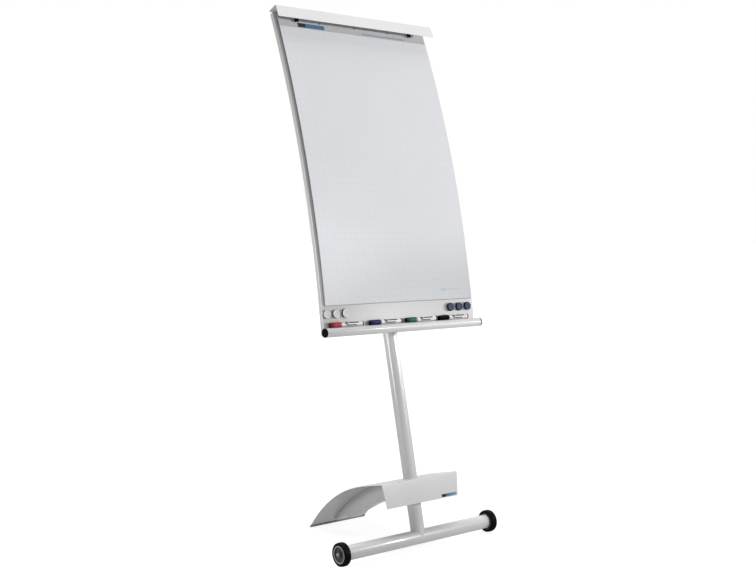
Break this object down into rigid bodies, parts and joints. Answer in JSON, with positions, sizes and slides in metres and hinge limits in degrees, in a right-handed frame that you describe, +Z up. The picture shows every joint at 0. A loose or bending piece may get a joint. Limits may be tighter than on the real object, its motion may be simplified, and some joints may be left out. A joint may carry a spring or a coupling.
{
  "type": "flipchart easel",
  "caption": "Mobile flipchart easel: curved white steel board with paper pad under a hinged clamp rail, marker tube and magnets, on a leaning tube mast with curved sheet foot and wheels.",
  "frame": {"origin": "on the floor, under the middle of the easel's bounding box", "axes": "+Z up; -Y towards the front, where the reader stands; +X to the right of a reader who faces the paper"},
  "size_m": [0.7254, 0.5129, 1.9008],
  "materials": {
    "black_plastic": "moulded, satin",
    "blue_plastic": "moulded, semi-gloss",
    "green_plastic": "moulded, semi-gloss",
    "grey_card": "grey card",
    "grey_plastic": "moulded, satin",
    "magnet_blue": "moulded, semi-gloss",
    "paper": "white paper with a faint grid",
    "red_plastic": "moulded, semi-gloss",
    "rubber": "matt black rubber",
    "steel": "zinc-plated steel",
    "tyre": "finely ribbed black rubber",
    "white_paint": "semi-gloss white powder coat",
    "white_plastic": "moulded, semi-gloss"
  },
  "bodies": {
    "frame": {"mast_tube": "white_paint", "mast_top_plug": "black_plastic", "crossbar_tube": "white_paint", "crossbar_plug_left": "white_plastic", "crossbar_plug_right": "white_plastic", "axle_bolt_left": "steel", "axle_bolt_right": "steel", "foot_sheet": "white_paint", "foot_spine": "white_paint", "foot_edge_strip": "rubber", "board_panel": "white_paint", "crossmember_lower": "white_paint", "crossmember_upper": "white_paint", "lower_bracket": "white_paint", "lower_bracket_bolt": "steel", "upper_bracket": "white_paint", "upper_bracket_bolt": "steel", "tray_tube": "white_paint", "tray_cap_left": "black_plastic", "tray_cap_right": "black_plastic", "tray_screw_left": "steel", "tray_screw_right": "steel", "paper_hook_left": "black_plastic", "paper_hook_right": "black_plastic", "rail_hinge_leaf_left": "steel", "rail_hinge_leaf_right": "steel", "rail_hinge_pin": "steel"},
    "wheel_left": {"tyre_left": "tyre", "hub_left": "grey_plastic"},
    "wheel_right": {"tyre_right": "tyre", "hub_right": "grey_plastic"},
    "clamp_rail": {"clamp_rail": "white_paint"},
    "pad": {"pad_backing_card": "grey_card", "pad_paper_block": "paper", "pad_header": "grey_card"},
    "top_sheet": {"pad_top_sheet": "paper"},
    "hook_knob_left": {"hook_knob_left": "black_plastic"},
    "hook_knob_right": {"hook_knob_right": "black_plastic"},
    "magnet_white_1": {"magnet_white_1": "white_plastic"},
    "magnet_white_2": {"magnet_white_2": "white_plastic"},
    "magnet_white_3": {"magnet_white_3": "white_plastic"},
    "magnet_blue_1": {"magnet_blue_1": "magnet_blue"},
    "magnet_blue_2": {"magnet_blue_2": "magnet_blue"},
    "magnet_blue_3": {"magnet_blue_3": "magnet_blue"},
    "marker_red": {"marker_red_cap": "red_plastic", "marker_red_barrel": "white_plastic", "marker_red_end_plug": "red_plastic"},
    "marker_blue": {"marker_blue_cap": "blue_plastic", "marker_blue_barrel": "white_plastic", "marker_blue_end_plug": "blue_plastic"},
    "marker_green": {"marker_green_cap": "green_plastic", "marker_green_barrel": "white_plastic", "marker_green_end_plug": "green_plastic"},
    "marker_black": {"marker_black_cap": "black_plastic", "marker_black_barrel": "white_plastic", "marker_black_end_plug": "black_plastic"}
  },
  "joints": [
    {"name": "wheel_spin_left", "type": "hinge", "parent": "frame", "child": "wheel_left", "pos_m": [-0.3422, -0.2164, 0.04], "axis": [1, 0, 0], "continuous": true},
    {"name": "wheel_spin_right", "type": "hinge", "parent": "frame", "child": "wheel_right", "pos_m": [0.3422, -0.2164, 0.04], "axis": [1, 0, 0], "continuous": true},
    {"name": "rail_flip", "type": "hinge", "parent": "frame", "child": "clamp_rail", "pos_m": [0, 0.164, 1.88322], "axis": [-1, 0, 0], "range_deg": [0, 110]},
    {"name": "pad_swing", "type": "hinge", "parent": "frame", "child": "pad", "pos_m": [0, 0.14941, 1.85894], "axis": [-1, 0, 0], "range_deg": [0, 5]},
    {"name": "page_turn", "type": "hinge", "parent": "pad", "child": "top_sheet", "pos_m": [0, 0.13542, 1.83351], "axis": [-1, 0, 0], "range_deg": [0, 105]},
    {"name": "knob_turn_left", "type": "hinge", "parent": "frame", "child": "hook_knob_left", "pos_m": [-0.263, 0.15237, 1.85773], "axis": [0, -0.9253, 0.3793], "continuous": true},
    {"name": "knob_turn_right", "type": "hinge", "parent": "frame", "child": "hook_knob_right", "pos_m": [0.263, 0.15237, 1.85773], "axis": [0, -0.9253, 0.3793], "continuous": true},
    {"name": "magnet_white_1_pull", "type": "slide", "parent": "frame", "child": "magnet_white_1", "axis": [0, -0.99, 0.1407], "range_m": [0, 0.06]},
    {"name": "magnet_white_2_pull", "type": "slide", "parent": "frame", "child": "magnet_white_2", "axis": [0, -0.99, 0.1407], "range_m": [0, 0.06]},
    {"name": "magnet_white_3_pull", "type": "slide", "parent": "frame", "child": "magnet_white_3", "axis": [0, -0.99, 0.1407], "range_m": [0, 0.06]},
    {"name": "magnet_blue_1_pull", "type": "slide", "parent": "frame", "child": "magnet_blue_1", "axis": [0, -0.99, 0.1407], "range_m": [0, 0.06]},
    {"name": "magnet_blue_2_pull", "type": "slide", "parent": "frame", "child": "magnet_blue_2", "axis": [0, -0.99, 0.1407], "range_m": [0, 0.06]},
    {"name": "magnet_blue_3_pull", "type": "slide", "parent": "frame", "child": "magnet_blue_3", "axis": [0, -0.99, 0.1407], "range_m": [0, 0.06]},
    {"name": "marker_red_lift", "type": "slide", "parent": "frame", "child": "marker_red", "axis": [0, -0.7071, 0.7071], "range_m": [0, 0.12]},
    {"name": "marker_blue_lift", "type": "slide", "parent": "frame", "child": "marker_blue", "axis": [0, -0.7071, 0.7071], "range_m": [0, 0.12]},
    {"name": "marker_green_lift", "type": "slide", "parent": "frame", "child": "marker_green", "axis": [0, -0.7071, 0.7071], "range_m": [0, 0.12]},
    {"name": "marker_black_lift", "type": "slide", "parent": "frame", "child": "marker_black", "axis": [0, -0.7071, 0.7071], "range_m": [0, 0.12]}
  ]
}
